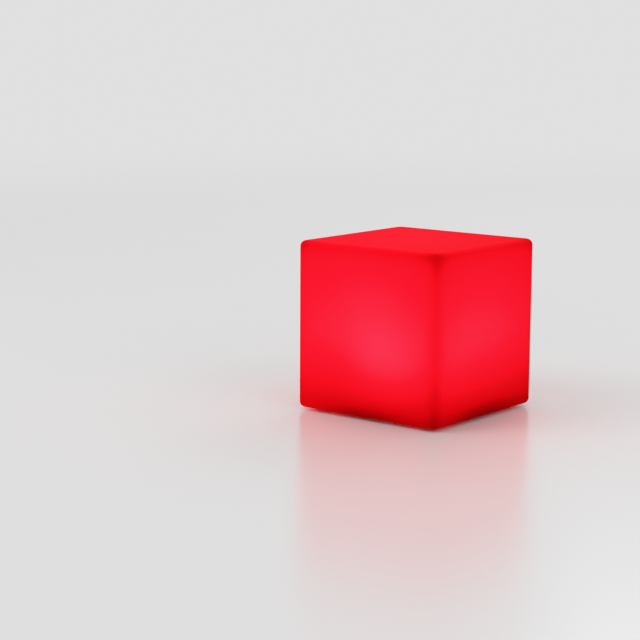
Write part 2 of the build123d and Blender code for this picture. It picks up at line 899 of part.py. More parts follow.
with BuildPart() as charge_jack_body:
    turn(
        socket_place,
        (socket_radius, socket_face),
        (socket_bezel_radius, socket_face),
        (socket_bezel_radius, flange_bottom),
        (socket_seal_circle + port_groove, flange_bottom),
        (socket_seal_circle + port_groove, groove_floor),
        (socket_seal_circle - port_groove, groove_floor),
        (socket_seal_circle - port_groove, flange_bottom),
        (socket_barrel, flange_bottom),
        (socket_barrel, barrel_top),
        (0, barrel_top),
        (0, socket_face + socket_depth),
        (socket_radius, socket_face + socket_depth),
    )
    round_edge(charge_jack_body, socket_face, socket_bezel_height / 4)
finish(charge_jack_body, "charge_jack_body")

pin_tip = socket_face + pin_setback
with BuildPart() as charge_jack_pin:
    column(pin_radius, pin_tip, socket_face + socket_depth, socket_place)
    round_edge(charge_jack_pin, pin_tip, pin_radius / 3)
finish(charge_jack_pin, "charge_jack_pin")

with BuildPart() as charge_jack_seal:
    with Locations((*socket_place, flange_bottom - port_groove)):
        Torus(socket_seal_circle, port_seal_radius)
finish(charge_jack_seal, "charge_jack_seal")

jack_nut_body = make_nut(socket_barrel)
with BuildPart() as charge_jack_nut:
    with Locations((*socket_place, cover_top)):
        add(jack_nut_body)
finish(charge_jack_nut, "charge_jack_nut")

with BuildPart() as charge_jack_terminals:
    blades(socket_place)
finish(charge_jack_terminals, "charge_jack_terminals")

# ================= Charging port flap =================
flap_top = socket_face - slide_gap
flap_bottom = flap_top - flap_thickness
strap_bottom = flap_top - strap_thickness
hinge_level = flap_top - strap_thickness / 2
bung_root = socket_radius - bung_fit
bung_tip = bung_root - bung_taper
bung_top = flap_top + bung_length

with BuildPart() as charge_port_flap:
    column(flap_radius, flap_bottom, flap_top, socket_place)
    block(
        flap_tab_width,
        flap_tab_length + flap_radius,
        strap_bottom,
        flap_top,
        (port_offset, (flap_tab_length + flap_radius) / 2),
    )
    fillet(charge_port_flap.edges().filter_by(Axis.Z).group_by(Axis.Y)[-1], flap_tab_width / 4)
    round_edge(charge_port_flap, flap_bottom, flap_rounding)
    turn(
        socket_place,
        (bung_tip - bung_wall, flap_top),
        (bung_root, flap_top),
        (bung_tip, bung_top),
        (bung_tip - bung_wall, bung_top),
    )
    block(
        strap_width,
        strap_length + flap_radius,
        strap_bottom,
        flap_top,
        (port_offset, hinge_place + (strap_length + flap_radius) / 2),
    )
    with Locations((port_offset, hinge_place, hinge_level)):
        Cylinder(strap_thickness / 2, strap_width, rotation=(0, 90, 0))
finish(charge_port_flap, "charge_port_flap")

with BuildPart() as charge_port_anchor:
    block(anchor_width, anchor_length, strap_bottom, flange_bottom, anchor_place)
    near_edges = charge_port_anchor.edges().filter_by(Axis.X).group_by(Axis.Z)[0]
    chamfer(near_edges.sort_by(Axis.Y)[-1], strap_thickness / 2)
    chamfer(near_edges.sort_by(Axis.Y)[0], strap_thickness)
    column(anchor_pin_radius, flange_bottom, cover_top, anchor_place)
    column(anchor_pin_head, cover_top, cover_top + anchor_pin_head_height, anchor_place)
finish(charge_port_anchor, "charge_port_anchor")

# ================= Charge light =================
indicator_bottom = board_bottom - indicator_height
with BuildPart() as charge_light_pipe:
    column(light_pipe_head, flange_bottom - light_pipe_head_height, flange_bottom, pipe_place)
    round_edge(charge_light_pipe, flange_bottom - light_pipe_head_height, light_pipe_head_height / 2)
    column(light_pipe_radius, flange_bottom, indicator_bottom - pass_gap, pipe_place)
finish(charge_light_pipe, "charge_light_pipe")

with BuildPart() as charge_indicator_led:
    block(2 * light_pipe_radius, light_pipe_radius, indicator_bottom, board_bottom, pipe_place)
finish(charge_indicator_led, "charge_indicator_led")

# ================= Leads =================
connector_level = board_bottom - connector_height / 2

battery_wires = [
    make_lead(
        (protection_face, y, cell_level - lead_pitch),
        (lead_lane, y, cell_level - lead_pitch),
        (lead_lane, y, connector_level),
        (connector_face, y, connector_level),
    )
    for y in (-lead_pitch, lead_pitch)
]
with BuildPart() as battery_leads:
    add(battery_wires)
finish(battery_leads, "battery_leads")

led_wires = [
    make_lead(
        (-connector_face, y * lead_pitch, connector_level),
        (-lead_lane, y * lead_pitch, connector_level),
        (-lead_lane, y * lead_pitch, led_board_bottom),
    )
    for y in (-1.5, -0.5, 0.5, 1.5)
]
with BuildPart() as led_leads:
    add(led_wires)
finish(led_leads, "led_leads")

for lead_name, (x, y) in (("switch_leads", switch_place), ("jack_leads", socket_place)):
    wires = [
        make_lead((side, y, barrel_top + terminal_height), (side, y, board_bottom))
        for side in (x - terminal_spread, x + terminal_spread)
    ]
    with BuildPart() as leads:
        add(wires)
    finish(leads, lead_name)
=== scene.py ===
import json
import math
from functools import cached_property

import bmesh
import bpy
from bpy.props import FloatProperty, FloatVectorProperty, IntProperty, PointerProperty
from bpy.types import Operator, Panel, PropertyGroup
from mathutils import Matrix, Vector


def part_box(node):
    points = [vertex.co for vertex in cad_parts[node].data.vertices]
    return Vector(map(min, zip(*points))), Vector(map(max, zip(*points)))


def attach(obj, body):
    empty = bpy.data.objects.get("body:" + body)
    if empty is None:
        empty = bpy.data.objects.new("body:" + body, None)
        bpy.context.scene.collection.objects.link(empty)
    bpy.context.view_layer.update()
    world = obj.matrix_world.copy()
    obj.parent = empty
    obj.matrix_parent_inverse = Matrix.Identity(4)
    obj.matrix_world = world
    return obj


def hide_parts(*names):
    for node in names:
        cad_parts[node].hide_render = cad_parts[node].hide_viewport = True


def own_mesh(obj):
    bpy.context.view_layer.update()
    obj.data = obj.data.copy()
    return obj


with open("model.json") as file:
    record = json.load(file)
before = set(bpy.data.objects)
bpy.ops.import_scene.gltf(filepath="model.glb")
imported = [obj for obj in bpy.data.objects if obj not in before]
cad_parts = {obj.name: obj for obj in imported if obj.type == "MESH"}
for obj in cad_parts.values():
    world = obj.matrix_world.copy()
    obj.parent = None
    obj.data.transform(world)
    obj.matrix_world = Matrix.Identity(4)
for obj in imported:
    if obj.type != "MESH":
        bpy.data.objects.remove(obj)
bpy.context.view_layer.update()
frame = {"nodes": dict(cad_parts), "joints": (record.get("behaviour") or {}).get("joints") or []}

bl_info = {
    "name": "LED cube light",
    "version": (1, 0, 0),
    "blender": (4, 5, 0),
    "location": "3D View > Sidebar > Cube light",
    "description": "Glow, finishes and studio for a milky garden cube lit from inside",
    "category": "Object",
}

mm = 0.001

# ---- Places that the finishes are lined up with, from the frame ----
shell_low, shell_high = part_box("shell")
half_side = shell_high.x
cube_top = shell_high.z
button_low, button_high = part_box("switch_button")
switch_middle = (button_low + button_high) / 2
flap_low, flap_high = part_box("charge_port_flap")
flap_middle = (flap_low + flap_high) / 2
tab_step = 0.6 * mm  # from the flap's lower face to its tab's
tab_margin = 0.7 * mm  # from the tab's end to its first grip ridge
leds_low, leds_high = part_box("leds")
cell_low, cell_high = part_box("battery_cell_1")
cell_middle = (cell_low + cell_high) / 2
pad_low, pad_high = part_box("battery_pad")
dome_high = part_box("diffuser_dome")[1]
foot_low, foot_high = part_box("foot_back_right")
foot_middle = (foot_low + foot_high) / 2
foot_radius = (foot_high.x - foot_low.x) / 2

# ---- How light from the engine falls on the cube's walls ----
# Each patch is the place of its middle, its width and its strength. The walls that aren't
# listed have the same patches, turned half round the upright axis.
wide_patches = (
    ((12 * mm, -half_side, 128 * mm), 79 * mm, 0.185),
    ((half_side, -18 * mm, 56 * mm), 143 * mm, 0.58),
)
hot_patches = (((21 * mm, -half_side, 72 * mm), 41 * mm, 0.30),)
side_patches = (
    ((60 * mm, -half_side, 63 * mm), 33 * mm, 0.13),
    ((half_side, -60 * mm, 63 * mm), 33 * mm, 0.08),
)
even_light = 0.22
even_light_tilt = 0.31  # weaker by this much for each 100 mm towards +X
# The levels between which each kind of light fades in, going up.
even_fade = (-98 * mm, 80 * mm)
wide_fade = (1 * mm, 113 * mm)
hot_fade = (-42 * mm, 78 * mm)
side_fade = (-168 * mm, 89 * mm)


# ================= Settings =================
def colour(name, description, *rgb):
    """A colour that a user can pick."""
    return FloatVectorProperty(
        name=name, description=description, subtype="COLOR", size=3, min=0, max=1, default=rgb
    )


def length(name, description, default):
    """A length that a user can set, in metres."""
    return FloatProperty(
        name=name,
        description=description,
        subtype="DISTANCE",
        unit="LENGTH",
        min=0,
        precision=5,
        default=default,
    )


def share(name, description, default, most=1.0):
    """A number from 0 up that a user can set."""
    return FloatProperty(
        name=name, description=description, subtype="FACTOR", min=0, max=most, default=default
    )


class ShellSettings(PropertyGroup):
    """The lit cube."""

    unlit: colour("Unlit", "Where no light reaches the wall", 0.045, 0.0, 0.0)
    faint: colour("Faint", "Where little light reaches the wall", 0.29, 0.0003, 0.001)
    dim: colour("Dim", "Low on the walls and in the creases", 0.71, 0.0010, 0.0037)
    even: colour("Even", "The upper part of the walls", 0.956, 0.0044, 0.0137)
    bright: colour("Bright", "Round the patches of light", 0.991, 0.0097, 0.0305)
    hottest: colour("Hottest", "The middle of the brightest patch", 1.0, 0.034, 0.084)
    glow: share("Glow", "Strength of the light that comes through the wall", 0.78, 4)
    # Painted light and shade: the wall's base colour is this share of the glow, with the glow's
    # patches and shadows, as the milky wall has no red of its own.
    body: share("Body", "How much of the glow's colour the wall has by itself", 0.25)
    roughness: share("Roughness", "Roughness of the matt skin", 0.72)
    sheen: share("Sheen", "How strongly the skin mirrors the room", 0.006)
    peel: length("Peel", "Size of the skin's orange peel", 1.6 * mm)
    # Painted shade: the glow is darker along the rounded edges.
    crease_shade: share("Crease", "How much darker the rounded edges are", 0.34)
    crease_shade_width: length("Crease width", "Width of the dark line along an edge", 9.6 * mm)
    # Painted shade: the glow is darker at the corners.
    corner: share("Corner", "How much darker the corners are", 0.52)
    corner_shade_width: length("Corner width", "Size of a dark corner", 17.0 * mm)
    shadow: share("Engine shadow", "How much darker the base's middle is", 0.62)
    shadow_width: length("Engine shadow width", "Half width of that shadow", 65 * mm)


class RubberSettings(PropertyGroup):
    """Feet, seals, flap and anchor."""

    rubber: colour("Rubber", "Colour of the moulded rubber", 0.022, 0.022, 0.024)
    seal: colour("Seal", "Colour of the seals", 0.012, 0.012, 0.014)
    bloom: colour("Bloom", "Colour of the pale bloom and dust on rubber", 0.16, 0.155, 0.145)
    roughness: share("Roughness", "Roughness of the rubber", 0.68)
    ridges: IntProperty(
        name="Grip ridges",
        description="Number of grip ridges under the flap's tab",
        min=1,
        max=6,
        default=3,
    )
    ridge_length: length("Ridge length", "Length of a grip ridge", 4.0 * mm)
    ridge_width: length("Ridge width", "Width of a grip ridge", 0.42 * mm)
    ridge_pitch: length("Ridge pitch", "Distance from one grip ridge to the next", 0.8 * mm)
    ridge_height: length("Ridge height", "How far a grip ridge stands out", 0.25 * mm)


class EngineSettings(PropertyGroup):
    """Housing, bottom cover and nuts."""

    housing: colour("Housing", "Colour of the white housing", 0.80, 0.80, 0.78)
    cover: colour("Cover", "Colour of the bottom cover", 0.74, 0.74, 0.72)
    roughness: share("Roughness", "Roughness of the mouldings", 0.5)
    grain: length("Grain", "Size of the moulded grain", 0.35 * mm)


class MetalSettings(PropertyGroup):
    """Screws and threaded inserts."""

    steel: colour("Steel", "Colour of the stainless screws", 0.60, 0.60, 0.61)
    brass: colour("Brass", "Colour of the threaded inserts", 0.78, 0.57, 0.27)
    roughness: share("Roughness", "Roughness of the metal", 0.27)
    knurl: length("Knurl", "Pitch of the inserts' knurling", 0.6 * mm)


class SwitchSettings(PropertyGroup):
    """Power switch."""

    body: colour("Body", "Colour of the switch body", 0.018, 0.018, 0.020)
    button: colour("Button", "Colour of the soft-touch button", 0.060, 0.063, 0.068)
    symbol: colour("Symbol", "Colour of the paint in the engraved symbol", 0.78, 0.79, 0.80)
    spring: colour("Spring", "Colour of the spring wire", 0.55, 0.56, 0.57)
    tin: colour("Tin", "Colour of the tinned terminals", 0.74, 0.73, 0.68)
    symbol_radius: length("Symbol radius", "Radius round the symbol that is painted", 2.4 * mm)
    symbol_depth: length("Symbol depth", "Level of the painted floor over the cap", 0.15 * mm)


class ChargeSettings(PropertyGroup):
    """Charging socket and charge light."""

    socket: colour("Socket", "Colour of the socket body", 0.012, 0.012, 0.014)
    pin: colour("Pin", "Colour of the plated pin", 0.72, 0.70, 0.64)
    pipe: colour("Light pipe", "Colour of the clear light pipe", 0.93, 0.95, 0.96)
    indicator: colour("Indicator", "Colour of the charge light's LED", 0.75, 0.35, 0.10)


class BatterySettings(PropertyGroup):
    """Cells, cradle, pad and tabs."""

    sleeve: colour("Sleeve", "Colour of the cells' shrink sleeve", 0.035, 0.16, 0.42)
    can: colour("Can", "Colour of the cells' bare ends", 0.62, 0.61, 0.58)
    cradle: colour("Cradle", "Colour of the cradle", 0.028, 0.028, 0.031)
    foam: colour("Foam", "Colour of the foam pad", 0.075, 0.075, 0.080)
    nickel: colour("Nickel", "Colour of the nickel tabs", 0.66, 0.64, 0.59)
    bare_end: length("Bare end", "Radius of the bare metal at a cell's end", 7.4 * mm)
    weld: length("Weld", "Radius of a weld spot on a tab", 0.5 * mm)


class LightSettings(PropertyGroup):
    """LED board, LEDs, receiver, heat spreader and dome."""

    mask: colour("Mask", "Colour of the white solder mask", 0.84, 0.84, 0.80)
    package: colour("Package", "Colour of the LED package", 0.86, 0.82, 0.70)
    phosphor: colour("Phosphor", "Colour of the LED's window", 0.85, 0.52, 0.10)
    light: colour("Light", "Colour of the light", 1.0, 0.012, 0.035)
    epoxy: colour("Epoxy", "Colour of the infrared receiver", 0.010, 0.010, 0.012)
    aluminium: colour("Aluminium", "Colour of the rolled heat spreader", 0.72, 0.73, 0.74)
    dome: colour("Dome", "Colour of the frosted dome", 0.90, 0.89, 0.88)
    level: share("Level", "How strongly the LEDs shine", 0.9, 4)


class BoardSettings(PropertyGroup):
    """Control electronics."""

    mask: colour("Mask", "Colour of the green solder mask", 0.008, 0.120, 0.040)
    trace: colour("Trace", "Colour of the mask over copper", 0.025, 0.220, 0.075)
    pad: colour("Pad", "Colour of the tinned pads", 0.66, 0.65, 0.60)
    chip: colour("Chip", "Colour of the chip packages", 0.014, 0.014, 0.016)
    ferrite: colour("Ferrite", "Colour of the inductor", 0.065, 0.065, 0.070)
    can: colour("Can", "Colour of the capacitor's can", 0.68, 0.69, 0.71)
    connector: colour("Connector", "Colour of the lead connectors", 0.76, 0.70, 0.55)
    trace_pitch: length("Trace pitch", "Distance between traces", 1.6 * mm)


class LeadSettings(PropertyGroup):
    """Leads."""

    red: colour("Red", "Colour of the red insulation", 0.52, 0.012, 0.010)
    black: colour("Black", "Colour of the black insulation", 0.014, 0.014, 0.016)
    green: colour("Green", "Colour of the green insulation", 0.020, 0.26, 0.050)
    blue: colour("Blue", "Colour of the blue insulation", 0.015, 0.080, 0.42)
    white: colour("White", "Colour of the white insulation", 0.72, 0.72, 0.70)


class StageSettings(PropertyGroup):
    """Floor, backdrop, lamps and camera."""

    floor: colour("Floor", "Colour of the floor", 0.84, 0.84, 0.84)
    backdrop: colour("Backdrop", "Colour behind the floor", 0.75, 0.75, 0.75)
    surround: colour("Surround", "Light from all sides", 0.62, 0.62, 0.62)
    floor_roughness: share("Floor roughness", "Roughness of the floor", 0.24)
    floor_radius: length("Floor radius", "Radius of the floor", 14.0)
    floor_gap: length("Floor gap", "Gap between the floor and the feet", 0.1 * mm)
    window: length("Window", "Where light comes up through the floor to the engine", 60 * mm)
    fade_start: length("Fade start", "Where the floor starts to turn into the backdrop", 0.4)
    fade_end: length("Fade end", "Where the floor has become the backdrop", 4.5)
    camera_place: FloatVectorProperty(
        name="Camera place",
        description="Where the camera stands",
        subtype="TRANSLATION",
        unit="LENGTH",
        size=3,
        default=(1.22172, -1.70108, 0.45457),
    )
    azimuth: FloatProperty(
        name="Azimuth",
        description="Direction from the object to the camera, from the front towards the right",
        subtype="ANGLE",
        default=math.radians(38.776),
    )
    elevation: FloatProperty(
        name="Elevation",
        description="How far the camera looks down",
        subtype="ANGLE",
        default=math.radians(9.517),
    )
    roll: FloatProperty(
        name="Roll",
        description="How far the camera leans",
        subtype="ANGLE",
        default=math.radians(0.3283),
    )
    lens: FloatProperty(
        name="Lens", description="Focal length of the camera", unit="CAMERA", min=1, default=101.498
    )


# ================= Materials in plain arithmetic =================
class Value:
    """A number in a material. Arithmetic on it adds the Math nodes."""

    def __init__(self, finish, socket):
        self.finish, self.socket = finish, socket

    def maths(self, operation, *numbers):
        """The one Math node that an operation on numbers takes."""
        return self.finish.add("ShaderNodeMath", dict(enumerate(numbers)), operation=operation)

    def __add__(self, other):
        return self.maths("ADD", self, other)

    def __sub__(self, other):
        return self.maths("SUBTRACT", self, other)

    def __rsub__(self, other):
        return self.maths("SUBTRACT", other, self)

    def __mul__(self, other):
        return self.maths("MULTIPLY", self, other)

    def __truediv__(self, other):
        return self.maths("DIVIDE", self, other)

    def __rtruediv__(self, other):
        return self.maths("DIVIDE", other, self)

    def __abs__(self):
        return self.maths("ABSOLUTE", self)

    def __neg__(self):
        return self * -1

    __radd__, __rmul__ = __add__, __mul__

    def sine(self):
        return self.maths("SINE", self)

    def bell(self, width):
        """1 at zero, falling to nothing on both sides over about twice the width."""
        part = self / width
        return self.maths("EXPONENT", -(part * part))

    def above(self, limit):
        """1 over the limit, otherwise 0."""
        return self.maths("GREATER_THAN", self, limit)

    def at_most(self, other):
        return self.maths("MINIMUM", self, other)

    def at_least(self, other):
        return self.maths("MAXIMUM", self, other)

    def fade(self, low, high):
        """Goes smoothly from 0 at the first limit to 1 at the second."""
        return self.finish.add(
            "ShaderNodeMapRange",
            {"Value": self, "From Min": low, "From Max": high},
            interpolation_type="SMOOTHSTEP",
        )


class Finish:
    """The nodes of one material, or of the world."""

    def __init__(self, owner):
        self.owner = bpy.data.materials.new(owner) if isinstance(owner, str) else owner
        self.owner.use_nodes = True
        self.tree = self.owner.node_tree
        self.tree.nodes.clear()

    @cached_property
    def place(self):
        """Each point's place, in metres from the middle of the cube's base."""
        return self.add("ShaderNodeTexCoord", output="Object")

    def add(self, kind, sockets=None, output=0, stops=(), **settings):
        """Adds a node: its settings first, then the values or links of its sockets."""
        node = self.tree.nodes.new(kind)
        for name, setting in settings.items():
            setattr(node, name, setting)
        if stops:
            ends = node.color_ramp.elements
            for end, (position, tint) in zip((ends[0], ends[-1]), (stops[0], stops[-1])):
                end.position, end.color = position, (*tint, 1)
            for position, tint in stops[1:-1]:
                ends.new(position).color = (*tint, 1)
        inputs = [socket for socket in node.inputs if socket.enabled]
        for name, given in (sockets or {}).items():
            by_name = (socket for socket in inputs if socket.name == name)
            socket = inputs[name] if isinstance(name, int) else next(by_name)
            if isinstance(given, Value):
                given = given.socket
            if isinstance(given, bpy.types.NodeSocket):
                self.tree.links.new(given, socket)
            else:
                socket.default_value = (*given, 1) if socket.type == "RGBA" else given
        outputs = [socket for socket in node.outputs if socket.enabled]
        by_name = (socket for socket in outputs if socket.name == output)
        found = outputs[output] if isinstance(output, int) else next(by_name, None)
        return Value(self, found) if found and found.type == "VALUE" else found

    def axes(self, vector=None):
        """The X, Y and Z of a vector, or of the place on the object."""
        across = self.add("ShaderNodeSeparateXYZ", {"Vector": vector or self.place})
        return [Value(self, socket) for socket in across.socket.node.outputs]

    def away(self, point):
        """How far each place is from a point."""
        return self.add(
            "ShaderNodeVectorMath", {0: self.place, 1: point}, output="Value", operation="DISTANCE"
        )

    def noise(self, size, detail=2.0, stretch=None):
        """Cloudy noise about 0.5, with clouds of this size, finer where it is stretched."""
        vector = self.place
        if stretch:
            vector = self.add("ShaderNodeMapping", {"Vector": vector, "Scale": stretch})
        return self.add(
            "ShaderNodeTexNoise", {"Vector": vector, "Scale": 1 / size, "Detail": detail}
        )

    def cells(self, size, output="Distance", **settings):
        """Distance to the nearest of many scattered points, in shares of the cell's size."""
        sockets = {"Vector": self.place, "Scale": 1 / size}
        return self.add("ShaderNodeTexVoronoi", sockets, output, **settings)

    def mix(self, part, first, second, blend="MIX"):
        """The first colour, with this part of the second."""
        return self.add(
            "ShaderNodeMix",
            {"Factor": part, "A": first, "B": second},
            data_type="RGBA",
            blend_type=blend,
        )

    def tint(self, shade, tone):
        """A colour made lighter or darker by a number."""
        return self.mix(1.0, shade, tone, "MULTIPLY")

    def bump(self, height, depth):
        """A surface that rises by the height, which counts in this depth."""
        return self.add("ShaderNodeBump", {"Strength": 1.0, "Distance": depth, "Height": height})

    def settle(self, sockets):
        """Ends the material in its surface shader."""
        shader = self.add("ShaderNodeBsdfPrincipled", sockets)
        self.add("ShaderNodeOutputMaterial", {"Surface": shader}, output="None")
        return self.owner


def wear(material, *nodes):
    """Gives carried-over pieces a finished material in place of their plain one."""
    for node in nodes:
        for holder in frame["nodes"][node].material_slots:
            holder.material = material


# ================= Finishes that several pieces share =================
def moulded_plastic(name, shade, roughness, grain):
    """Moulded plastic: an eroded grain, faint flow clouds and a few fine scuffs."""
    finish = Finish(name)
    flow = finish.noise(16 * mm, 3)
    pits = finish.noise(grain, 3)
    scuffs = finish.noise(1.8 * mm, 5, (1, 5, 2)).fade(0.60, 0.72)
    return finish.settle(
        {
            "Base Color": finish.tint(shade, 0.90 + flow * 0.12 + pits * 0.06 + scuffs * 0.05),
            "Roughness": roughness - 0.05 + flow * 0.10 + scuffs * 0.10,
            "Normal": finish.bump(pits, 0.012 * mm),
        }
    )


def soft_rubber(name, shade, settings):
    """Rubber with a pale bloom in patches and a fine matt skin."""
    finish = Finish(name)
    bloom = finish.noise(3.5 * mm, 5).fade(0.46, 0.74)
    skin = finish.noise(0.25 * mm, 3)
    clean = finish.tint(shade, 0.8 + skin * 0.4)
    return finish.settle(
        {
            "Base Color": finish.mix(bloom * 0.25, clean, settings.bloom),
            "Roughness": settings.roughness - 0.06 + bloom * 0.16 + skin * 0.06,
            "Normal": finish.bump(skin, 0.015 * mm),
        }
    )


def worked_metal(name, shade, roughness, stretch, dull=0.12):
    """Metal with fine marks of working in one direction and slightly dull patches."""
    finish = Finish(name)
    lines = finish.noise(0.22 * mm, 4, stretch)
    patches = finish.noise(2.6 * mm, 4).fade(0.42, 0.70)
    return finish.settle(
        {
            "Base Color": finish.tint(shade, 0.88 + lines * 0.22 - patches * dull),
            "Metallic": 1.0,
            "Roughness": roughness - 0.05 + lines * 0.14 + patches * dull,
            "Normal": finish.bump(lines, 0.006 * mm),
        }
    )


def round_bar(name, middle, size, material, body):
    """A small bar with softly rounded edges, in the space of a box."""
    bar = bmesh.new()
    bmesh.ops.create_cube(bar, size=1.0)
    bmesh.ops.scale(bar, vec=size, verts=bar.verts)
    bmesh.ops.bevel(
        bar, geom=list(bar.edges), offset=min(size) * 0.35, segments=3, profile=0.5, affect="EDGES"
    )
    bmesh.ops.translate(bar, vec=middle, verts=bar.verts)
    mesh = bpy.data.meshes.new(name)
    bar.to_mesh(mesh)
    bar.free()
    mesh.shade_smooth()
    mesh.materials.append(material)
    piece = bpy.data.objects.new(name, mesh)
    bpy.context.collection.objects.link(piece)
    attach(piece, body)
    return piece


# ================= The pieces =================
class LitShell(Operator):
    """Gives the milky cube its skin and the glow of the light inside it"""

    bl_idname = "cube_light.lit_shell"
    bl_label = "Lit shell"

    def execute(self, context):
        look = context.scene.cube_shell
        finish = Finish("lit_shell")
        x, y, z = finish.axes()

        def patches(listed):
            """Light from the listed patches and from the same ones on the far walls."""
            return sum(
                strength * finish.away((side * px, side * py, pz)).bell(width)
                for (px, py, pz), width, strength in listed
                for side in (1, -1)
            )

        light = (
            even_light * z.fade(*even_fade) * (1 - even_light_tilt * x / (100 * mm))
            + patches(wide_patches) * z.fade(*wide_fade)
            + patches(hot_patches) * z.fade(*hot_fade)
            + patches(side_patches) * z.fade(*side_fade)
        )

        in_x, in_y, down = half_side - abs(x), half_side - abs(y), cube_top - z
        from_edge = in_x.at_most(in_y).at_least(in_x.at_least(in_y).at_most(down))
        on_top = z.fade(cube_top - 5 * mm, cube_top)
        # Painted shade: the glow is darker along the rounded edges, less so on the top face.
        edges = 1 - look.crease_shade * from_edge.bell(look.crease_shade_width) * (1 - 0.88 * on_top)
        # Painted shadow of the light engine: the glow is darkest low in the middle of each wall and
        # under the base.
        base = 1 - z.fade(shell_low.z, shell_low.z + 25 * mm)
        engine = 1 - look.shadow * abs(x).at_most(abs(y)).bell(look.shadow_width) * base
        # Painted shade: the glow is darker at the corners.
        wide = look.corner_shade_width
        corner_shade = 1 - look.corner * in_x.bell(wide) * in_y.bell(wide) * down.bell(wide)
        clouds = finish.noise(30 * mm, 2) * 0.5 + finish.noise(7 * mm, 3) * 0.5
        glow = finish.add(
            "ShaderNodeValToRGB",
            {"Fac": light * edges * engine * corner_shade * (0.97 + clouds * 0.06)},
            output="Color",
            stops=(
                (0.0, look.unlit),
                (0.055, look.faint),
                (0.145, look.dim),
                (0.33, look.even),
                (0.6, look.bright),
                (1.0, look.hottest),
            ),
        )
        peel = finish.noise(look.peel, 3)
        haze = finish.noise(9 * mm, 4)
        material = finish.settle(
            {
                # Painted light and shade: the base colour is a share of the glow.
                "Base Color": finish.mix(look.body, (0.0, 0.0, 0.0), glow),
                "Roughness": look.roughness - 0.05 + haze * 0.10,
                "Specular IOR Level": look.sheen,
                "Normal": finish.bump(peel, 0.02 * mm),
                "Emission Color": glow,
                "Emission Strength": look.glow,
            }
        )
        wear(material, "shell")
        return {"FINISHED"}


class RubberParts(Operator):
    """Finishes the feet, the seals, the charging flap and its anchor, and adds grip ridges"""

    bl_idname = "cube_light.rubber_parts"
    bl_label = "Rubber parts"

    def execute(self, context):
        look = context.scene.cube_rubber
        wear(
            soft_rubber("foot_rubber", look.rubber, look),
            *(name for name in sorted(frame["nodes"]) if name.startswith("foot_")),
        )
        seals = soft_rubber("seal_rubber", look.seal, look)
        wear(seals, "flange_gasket", "cover_seal", "dome_seal", "switch_seal", "charge_jack_seal")
        flap = soft_rubber("flap_rubber", look.rubber, look)
        wear(flap, "charge_port_flap", "charge_port_anchor")
        size = (look.ridge_length, look.ridge_width, look.ridge_height * 2)
        for number in range(look.ridges):
            along = flap_high.y - tab_margin - number * look.ridge_pitch
            middle = (flap_middle.x, along, flap_low.z + tab_step)
            name = f"flap_grip_ridge_{number + 1}"
            round_bar(name, middle, size, flap, "port_flap")
        return {"FINISHED"}


class LightEngine(Operator):
    """Finishes the engine's white housing, its bottom cover and the nuts"""

    bl_idname = "cube_light.light_engine"
    bl_label = "Light engine"

    def execute(self, context):
        look = context.scene.cube_engine
        housing = moulded_plastic("engine_white", look.housing, look.roughness, look.grain)
        wear(housing, "engine_housing", "switch_nut", "charge_jack_nut")
        wear(moulded_plastic("cover_white", look.cover, look.roughness, look.grain), "bottom_cover")
        return {"FINISHED"}


class Fasteners(Operator):
    """Finishes the screws and the knurled brass inserts"""

    bl_idname = "cube_light.fasteners"
    bl_label = "Fasteners"

    def execute(self, context):
        look = context.scene.cube_metal
        steel = worked_metal("screw_steel", look.steel, look.roughness, (1, 1, 3))
        wear(steel, *(name for name in sorted(frame["nodes"]) if name.endswith("_screws")))

        finish = Finish("brass")
        x, y, z = finish.axes()
        turns = 2 * math.pi / look.knurl
        knurl = ((x + y + z) * turns).sine() * ((x + y - z) * turns).sine()
        patches = finish.noise(2 * mm, 4).fade(0.40, 0.72)
        brass = finish.settle(
            {
                # Painted shade: the base colour is a little darker in the knurl's hollows and
                # lighter on its ridges.
                "Base Color": finish.tint(look.brass, 0.95 + knurl * 0.06 - patches * 0.18),
                "Metallic": 1.0,
                "Roughness": look.roughness + patches * 0.15,
                "Normal": finish.bump(knurl, 0.06 * mm),
            }
        )
        wear(brass, "shell_inserts")
        return {"FINISHED"}


class PowerSwitch(Operator):
    """Finishes the switch body, its button with the painted symbol, the spring and terminals"""

    bl_idname = "cube_light.power_switch"
    bl_label = "Power switch"

    def execute(self, context):
        look = context.scene.cube_switch
        body = moulded_plastic("switch_black", look.body, 0.38, 0.30 * mm)
        wear(body, "switch_body", "switch_contact_block")

        finish = Finish("button_grey")
        x, y, z = finish.axes()
        out_x, out_y = x - switch_middle.x, y - switch_middle.y
        in_symbol = 1 - (out_x * out_x + out_y * out_y).above(look.symbol_radius**2)
        painted = in_symbol * z.above(button_low.z + look.symbol_depth)
        painted = painted * (1 - z.above(button_low.z + 1 * mm))
        skin = finish.noise(0.22 * mm, 3)
        touched = finish.noise(2.4 * mm, 4).fade(0.45, 0.70)
        cap = finish.tint(look.button, 0.85 + skin * 0.2 + touched * 0.2)
        button = finish.settle(
            {
                "Base Color": finish.mix(painted, cap, look.symbol),
                "Roughness": 0.62 - touched * 0.14 - painted * 0.12,
                "Normal": finish.bump(skin, 0.01 * mm),
            }
        )
        wear(button, "switch_button")
        self.wind_spring(worked_metal("spring_steel", look.spring, 0.30, (1, 1, 0.4)))
        tin = worked_metal("terminal_tin", look.tin, 0.34, (1, 4, 0.3))
        wear(tin, "switch_terminals", "charge_jack_terminals")
        return {"FINISHED"}

    def wind_spring(self, steel):
        """The return spring, a copy of the frame's coil in the given steel that stands in for it.
        The share of its length that it would keep when pressed is worked out but not used.
        """
        low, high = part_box("switch_spring")
        coil = bpy.data.objects.new("return_spring", frame["nodes"]["switch_spring"].data.copy())
        bpy.context.collection.objects.link(coil)
        coil.data.materials.clear()
        coil.data.materials.append(steel)
        coil.data.shade_smooth()
        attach(coil, "lamp")
        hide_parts("switch_spring")
        travel = next(j["range_m"][1] for j in frame["joints"] if j["name"] == "button_press")
        keep = 1 - travel / (high.z - low.z)
        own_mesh(coil)


